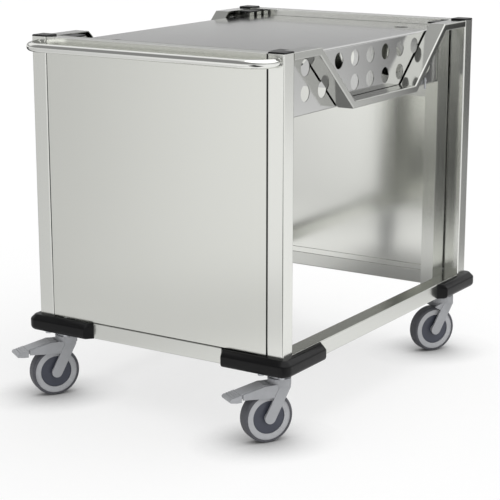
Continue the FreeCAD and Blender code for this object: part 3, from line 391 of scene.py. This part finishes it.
def new_piece(name, mesh_maker, body, slot):
    """A piece whose mesh is made by a function, riding on a body with the finish of a slot."""
    shape = bmesh.new()
    mesh_maker(shape)
    bmesh.ops.remove_doubles(shape, verts=shape.verts, dist=MERGE_DISTANCE)
    bmesh.ops.recalc_face_normals(shape, faces=shape.faces)
    mesh = bpy.data.meshes.new(name)
    shape.to_mesh(mesh)
    shape.free()
    mesh.shade_smooth()
    mesh.set_sharp_from_angle(angle=SHARP_ANGLE)
    mesh.materials.append(finish_for(slot, "z"))
    piece = bpy.data.objects.new(name, mesh)
    SCENE.collection.objects.link(piece)
    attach(piece, body)
    return piece


def skin(shape, rings, closed=False):
    """Skin rings of points in turn. A closed skin goes on to its first ring; an open one has end faces."""
    rows = [[shape.verts.new(point) for point in ring] for ring in rings]
    count = len(rows[0])
    following_rows = rows[1:] + rows[:1] if closed else rows[1:]
    for row, following in zip(rows, following_rows):
        for index in range(count):
            after = (index + 1) % count
            shape.faces.new((row[index], row[after], following[after], following[index]))
    if not closed:
        shape.faces.new(rows[0][::-1])
        shape.faces.new(rows[-1])


def full_turn(steps):
    """Evenly spaced angles of a full turn."""
    return [2 * math.pi * step / steps for step in range(steps)]


def arc(middle, radius, start, end, steps):
    """Points of an arc between two angles in degrees."""
    angles = [math.radians(start + (end - start) * step / steps) for step in range(steps + 1)]
    return [(middle[0] + radius * math.cos(angle), middle[1] + radius * math.sin(angle)) for angle in angles]


# Corner bumpers, the moulded form over the plain solid: lengths in metres, the bevel's angle in degrees
BUMPER_REACH = 0.025
BUMPER_LOWER_ROUND = 0.011
BUMPER_BEVEL = 0.012
BUMPER_BEVEL_ANGLE = 45
BUMPER_NOSE_ROUND = 0.007
BUMPER_END_SLOPE = 0.014
BUMPER_STEPS = 8
BUMPER_CORNER_STEPS = 16


def bumper_section(height):
    """Outline of a bumper, as (outwards, up): round below, bevelled above, with a soft nose."""
    low, nose = BUMPER_LOWER_ROUND, BUMPER_NOSE_ROUND
    bend = nose * math.tan(math.radians(BUMPER_BEVEL_ANGLE / 2))
    knee = height - BUMPER_BEVEL
    shoulder = BUMPER_REACH - BUMPER_BEVEL
    lower = arc((BUMPER_REACH - low, low), low, -90, 0, BUMPER_STEPS)
    front = arc((BUMPER_REACH - nose, knee - bend), nose, 0, BUMPER_BEVEL_ANGLE, BUMPER_STEPS)
    upper = arc((shoulder - bend, height - nose), nose, BUMPER_BEVEL_ANGLE, 90, BUMPER_STEPS)
    return [(0, 0)] + lower + front + upper + [(0, height)]


def bumper_stations(leg):
    """(middle, outward direction, share of the reach) along the L, from one tip to the other."""
    ends = [step / BUMPER_STEPS for step in range(BUMPER_STEPS + 1)]
    for share in ends:
        yield Vector((leg - BUMPER_END_SLOPE * share, 0, 0)), Vector((0, -1, 0)), share
    for step in range(BUMPER_CORNER_STEPS + 1):
        angle = math.pi / 2 * step / BUMPER_CORNER_STEPS
        yield Vector(), Vector((-math.sin(angle), -math.cos(angle), 0)), 1
    for share in ends[::-1]:
        yield Vector((0, leg - BUMPER_END_SLOPE * share, 0)), Vector((-1, 0, 0)), share


def moulded_bumper(node, quarter_turns):
    """The moulded form of a bumper, made for the handle end's front corner and turned to its own."""
    low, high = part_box(node)
    leg = high.x - low.x - BUMPER_REACH
    section = bumper_section(high.z - low.z)
    corner_x = low.x + BUMPER_REACH if quarter_turns in (0, 3) else high.x - BUMPER_REACH
    corner_y = low.y + BUMPER_REACH if quarter_turns in (0, 1) else high.y - BUMPER_REACH
    inner_corner = Matrix.Translation((corner_x, corner_y, low.z))
    place = inner_corner @ Matrix.Rotation(math.pi / 2 * quarter_turns, 4, "Z")

    def shape_bumper(shape):
        skin(shape, [[place @ (middle + outward * (out * share) + Vector((0, 0, up))) for out, up in section]
                     for middle, outward, share in bumper_stations(leg)])

    piece = new_piece(f"moulded_{node}", shape_bumper, "frame", "black_plastic")
    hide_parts(node)


# Weld beads, in metres: the ripple is a share of the bead's radius, its phase grows at each step by an angle
# in radians, and the lean sets how the bead's sections are turned
WELD_BEAD = 0.0016
WELD_STEP = 0.0022
WELD_SIDES = 8
WELD_RIPPLE_SHARE = 0.16
WELD_RIPPLE_PHASE = 0.8 * math.pi
WELD_LEAN = Vector((0.31, 0.77, 0.55))


def weld_bead(name, points):
    """A rippled bead along a closed line of points on the frame."""
    rings = []
    for index, point in enumerate(points):
        tangent = (points[(index + 1) % len(points)] - points[index - 1]).normalized()
        side = tangent.cross(WELD_LEAN).normalized()
        up = tangent.cross(side)
        radius = WELD_BEAD * (1 + WELD_RIPPLE_SHARE * math.sin(index * WELD_RIPPLE_PHASE))
        rings.append([point + (side * math.cos(turn) + up * math.sin(turn)) * radius
                      for turn in full_turn(WELD_SIDES)])
    new_piece(name, lambda shape: skin(shape, rings, closed=True), "frame", "frame_steel")


def handle_welds():
    """A bead round each end of the push handle, where it meets its post."""
    low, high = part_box("push_handle")
    radius = (high.z - low.z) / 2
    middle_z = (high.z + low.z) / 2
    x = high.x - WELD_BEAD / 2
    steps = round(2 * math.pi * radius / WELD_STEP)
    for face, y in (("front", low.y + radius), ("back", high.y - radius)):
        middle = Vector((x, y, middle_z))
        points = [middle + radius * Vector((0, math.cos(turn), math.sin(turn))) for turn in full_turn(steps)]
        weld_bead(f"handle_weld_{face}", points)


# Stop pin on the front skirt, in metres, and as shares how much of its length hangs below the skirt,
# how many radii its middle stands off, and its outline as (radius, height)
PIN_PLACE = 0.296
PIN_LENGTH = 0.030
PIN_RADIUS = 0.0028
PIN_STEPS = 20
PIN_BELOW_SHARE = 0.35
PIN_OFF_SHARE = 1.2
PIN_OUTLINE_SHARES = [(0, 0), (0.6, 0.02), (0.95, 0.1), (1, 0.16), (1, 0.7), (1.7, 0.72), (1.7, 0.8),
                      (1, 0.82), (1, 0.96), (0.7, 1), (0, 1)]


def skirt_pin():
    """A short pin with a rounded foot, and a collar that is let into the skirt."""
    low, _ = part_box("platform_deck")
    tip = Vector((PIN_PLACE, low.y - PIN_OFF_SHARE * PIN_RADIUS, low.z - PIN_BELOW_SHARE * PIN_LENGTH))

    def ring(radius, up):
        return [tip + Vector((radius * math.cos(turn), radius * math.sin(turn), up))
                for turn in full_turn(PIN_STEPS)]

    def shape_pin(shape):
        skin(shape, [ring(PIN_RADIUS * radius, PIN_LENGTH * up) for radius, up in PIN_OUTLINE_SHARES])

    new_piece("skirt_pin", shape_pin, "platform", "zinc_steel")


# Dark strips in the gaps between the outer panels and the posts, a painted shade in each gap, in metres
GAP_SHADE_RECESS = 0.0006
GAP_SHADE_HOLLOW = 0.0004
GAP_SHADE_DEPTH = 0.0014
GAP_SHADE_EASE = 0.00005
GAP_SHADE_STEPS = 6


def gap_shade_section():
    """Outline of a dark gap strip as (depth, share of its width), with a hollow face."""
    section = [(GAP_SHADE_DEPTH, 1), (GAP_SHADE_DEPTH, 0)]
    for step in range(GAP_SHADE_STEPS + 1):
        share = step / GAP_SHADE_STEPS
        section.append((GAP_SHADE_RECESS + GAP_SHADE_HOLLOW * 4 * share * (1 - share), share))
    return section


def painted_gap_shade(end, side):
    """A narrow dark strip in the gap between an outer panel and a post: painted shade in the gap."""
    panel_low, panel_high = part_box(f"outer_panel_{end}")
    post_low, post_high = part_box(f"corner_post_{end}_{side}")
    start, stop = (post_high.y, panel_low.y) if side == "front" else (panel_high.y, post_low.y)
    width = stop - start - 2 * GAP_SHADE_EASE
    face, inwards = (panel_low.x, 1) if end == "handle" else (panel_high.x, -1)

    def shape_gap_shade(shape):
        skin(shape, [[Vector((face + inwards * depth, start + GAP_SHADE_EASE + width * share, z))
                      for depth, share in gap_shade_section()] for z in (panel_low.z, panel_high.z)])

    new_piece(f"painted_gap_shade_{end}_{side}", shape_gap_shade, "frame", "black_plastic")


def light_paths(nodes):
    """Whether the camera sees a place straight, and whether it sees it in metal or through glass."""
    path = nodes.add("ShaderNodeLightPath")
    mirrored = nodes.math("MAXIMUM", path.outputs["Is Glossy Ray"], path.outputs["Is Transmission Ray"])
    return path.outputs["Is Camera Ray"], mirrored


def studio_sky():
    """A plain sky: its light comes more from the sides, and metal shows it bright ahead and grey behind."""
    world = bpy.data.worlds.new("studio_sky")
    SCENE.world = world
    world.use_nodes = True
    nodes = Nodes(world.node_tree)
    direction = nodes.add("ShaderNodeTexCoord").outputs["Generated"]
    height = nodes.along(direction, (0, 0, 1))
    light = nodes.spread(height, SKY_LIGHT["low"], SKY_LIGHT["high"], 0, 1)
    low_sky = nodes.spread(height, SKY_SEEN["horizon"], SKY_SEEN["low"], *HORIZON_EDGE)
    raised = nodes.spread(height, 0, 1, *UPPER_EDGE, "SMOOTHSTEP")
    ahead = nodes.along(direction, heading(AHEAD_HEADING))
    upper = nodes.spread(ahead, SKY_SEEN["behind"] - SKY_SEEN["low"], SKY_SEEN["ahead"] - SKY_SEEN["low"],
                         *AHEAD_EDGE, "SMOOTHSTEP")
    overhead = nodes.spread(height, 0, SKY_SEEN["overhead"] - SKY_SEEN["behind"],
                            *OVERHEAD_EDGE, "SMOOTHSTEP")
    in_metal = nodes.math("ADD", nodes.math("MULTIPLY_ADD", raised, upper, low_sky), overhead)
    straight, mirrored = light_paths(nodes)
    strength = nodes.weigh(in_metal, mirrored, light, nodes.math("SUBTRACT", 1, mirrored))
    strength = nodes.math("MAXIMUM", strength, straight)
    background = world.node_tree.nodes["Background"]
    background.inputs["Color"].default_value = (1, 1, 1, 1)
    nodes.link(strength, background.inputs["Strength"])


def tone_in_metal(nodes):
    """The floor's tone where metal shows it: white, less the zones of painted reflection."""
    place = nodes.add("ShaderNodeNewGeometry").outputs["Position"]
    tone = 1
    # Each zone darkens the floor only as metal mirrors it: a painted reflection
    for dim, ramps in PAINTED_REFLECTION_ZONES:
        zone = dim
        for degrees, start, full in ramps:
            ramp = nodes.spread(nodes.along(place, heading(degrees)), 0, 1, start, full, "SMOOTHSTEP")
            zone = nodes.math("MULTIPLY", zone, ramp)
        tone = nodes.math("SUBTRACT", tone, zone)
    return nodes.math("MAXIMUM", tone, DARKEST_PAINTED_REFLECTION)


def floor_material():
    """White that keeps the shadows, glows softly where it is seen with a painted contact shadow in the glow,
    and is clear from below.
    """
    material = bpy.data.materials.new("studio_floor")
    material.use_nodes = True
    nodes = Nodes(material.node_tree)
    nodes.tree.nodes.remove(nodes.tree.nodes["Principled BSDF"])
    straight, mirrored = light_paths(nodes)
    level = nodes.math("MULTIPLY_ADD", mirrored, tone_in_metal(nodes), nodes.math("SUBTRACT", 1, mirrored))
    matt = nodes.add("ShaderNodeBsdfDiffuse")
    nodes.link(nodes.math("MULTIPLY", level, FLOOR_COLOUR), matt.inputs["Color"])
    # Ambient occlusion darkens the glow near the part: a painted contact shadow
    open_sky = nodes.add("ShaderNodeAmbientOcclusion", samples=CONTACT_SHADOW_SAMPLES)
    open_sky.inputs["Distance"].default_value = CONTACT_SHADOW_REACH
    painted_contact_shadow = nodes.math("POWER", open_sky.outputs["AO"], CONTACT_SHADOW_POWER)
    glow = nodes.add("ShaderNodeEmission")
    nodes.link(nodes.math("MULTIPLY", level, painted_contact_shadow), glow.inputs["Strength"])
    glow_share = nodes.weigh(straight, FLOOR_GLOW, mirrored, FLOOR_GLOW_IN_METAL)
    surface = nodes.mix_shaders(glow_share, matt.outputs["BSDF"], glow.outputs["Emission"])
    from_below = nodes.add("ShaderNodeNewGeometry").outputs["Backfacing"]
    clear = nodes.add("ShaderNodeBsdfTransparent")
    surface = nodes.mix_shaders(from_below, surface, clear.outputs["BSDF"])
    nodes.link(surface, nodes.tree.nodes["Material Output"].inputs["Surface"])
    return material


def studio_floor():
    half = FLOOR_SIZE / 2
    mesh = bpy.data.meshes.new("studio_floor")
    corners = [(-half, -half, 0), (half, -half, 0), (half, half, 0), (-half, half, 0)]
    mesh.from_pydata(corners, [], [range(len(corners))])
    mesh.materials.append(floor_material())
    floor = bpy.data.objects.new("studio_floor", mesh)
    SCENE.collection.objects.link(floor)


def direction_at(turn, height):
    """The direction at an angle from +X and a height above the level, in degrees."""
    level = Vector(heading(turn)) * math.cos(math.radians(height))
    return level + Vector((0, 0, math.sin(math.radians(height))))


def studio_sun():
    data = bpy.data.lights.new("studio_sun", "SUN")
    data.energy = SUN_STRENGTH
    data.angle = math.radians(SUN_SPREAD)
    sun = bpy.data.objects.new("studio_sun", data)
    SCENE.collection.objects.link(sun)
    sun.rotation_mode = "QUATERNION"
    sun.rotation_quaternion = direction_at(SUN_TURN, SUN_HEIGHT).to_track_quat("Z", "Y")


def photo_camera():
    data = bpy.data.cameras.new("photo_camera")
    data.lens = CAMERA_LENS
    data.sensor_width = CAMERA_SENSOR
    camera = bpy.data.objects.new("photo_camera", data)
    SCENE.collection.objects.link(camera)
    camera.location = CAMERA_PLACE
    camera.rotation_mode = "QUATERNION"
    camera.rotation_quaternion = direction_at(CAMERA_YAW, -CAMERA_PITCH).to_track_quat("-Z", "Y")
    SCENE.camera = camera


dress_nodes()
for turns, corner in enumerate(("handle_front", "far_front", "far_back", "handle_back")):
    moulded_bumper(f"corner_bumper_{corner}", turns)
handle_welds()
skirt_pin()
for end in ("handle", "far"):
    for side in ("front", "back"):
        painted_gap_shade(end, side)
studio_sky()
studio_floor()
studio_sun()
photo_camera()
